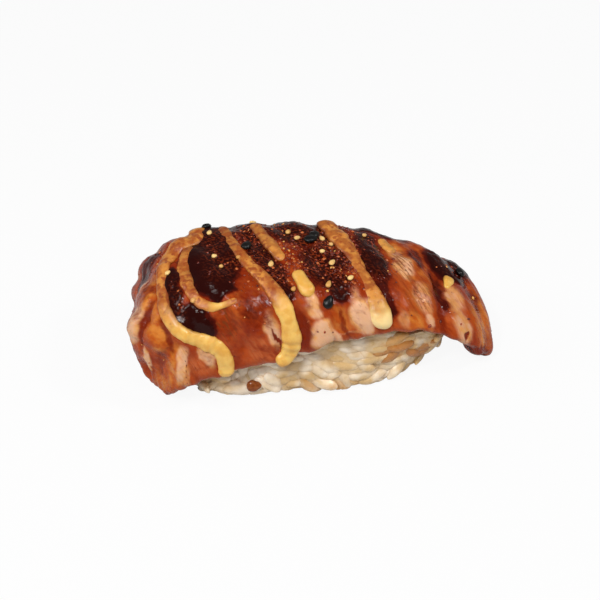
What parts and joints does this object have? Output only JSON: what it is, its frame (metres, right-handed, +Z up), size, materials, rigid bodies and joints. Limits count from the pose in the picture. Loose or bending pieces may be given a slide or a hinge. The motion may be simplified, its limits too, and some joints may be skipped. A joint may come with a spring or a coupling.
{
  "type": "salmon nigiri",
  "caption": "Seared salmon slice draped over a bed of pressed rice, with strands of torched mayonnaise lying across it.",
  "frame": {"origin": "centre of the rice bed's flat base, on the surface it stands on", "axes": "+X along the rice towards the slice's narrow tail, -Y the side with the longer drape of salmon, +Z up"},
  "size_m": [0.0727, 0.0339, 0.0295],
  "materials": {
    "rice": "moist cooked rice grains with a soft sheen",
    "salmon": "seared, glazed salmon flesh, orange to red brown with pale lines of fat",
    "mayonnaise": "torched mayonnaise, bright yellow to brown, soft gloss",
    "glaze": "thin dark sweet soy glaze, wet gloss",
    "seasoning": "sesame seeds and fine spice crumbs"
  },
  "bodies": {
    "root": {"rice_bed": "rice", "salmon_slice": "salmon", "mayo_strand_1": "mayonnaise", "mayo_strand_2": "mayonnaise", "mayo_strand_3": "mayonnaise", "mayo_strand_4": "mayonnaise", "mayo_strand_5": "mayonnaise", "mayo_strand_6": "mayonnaise", "mayo_strand_7": "mayonnaise", "mayo_strand_8": "mayonnaise"}
  },
  "joints": []
}
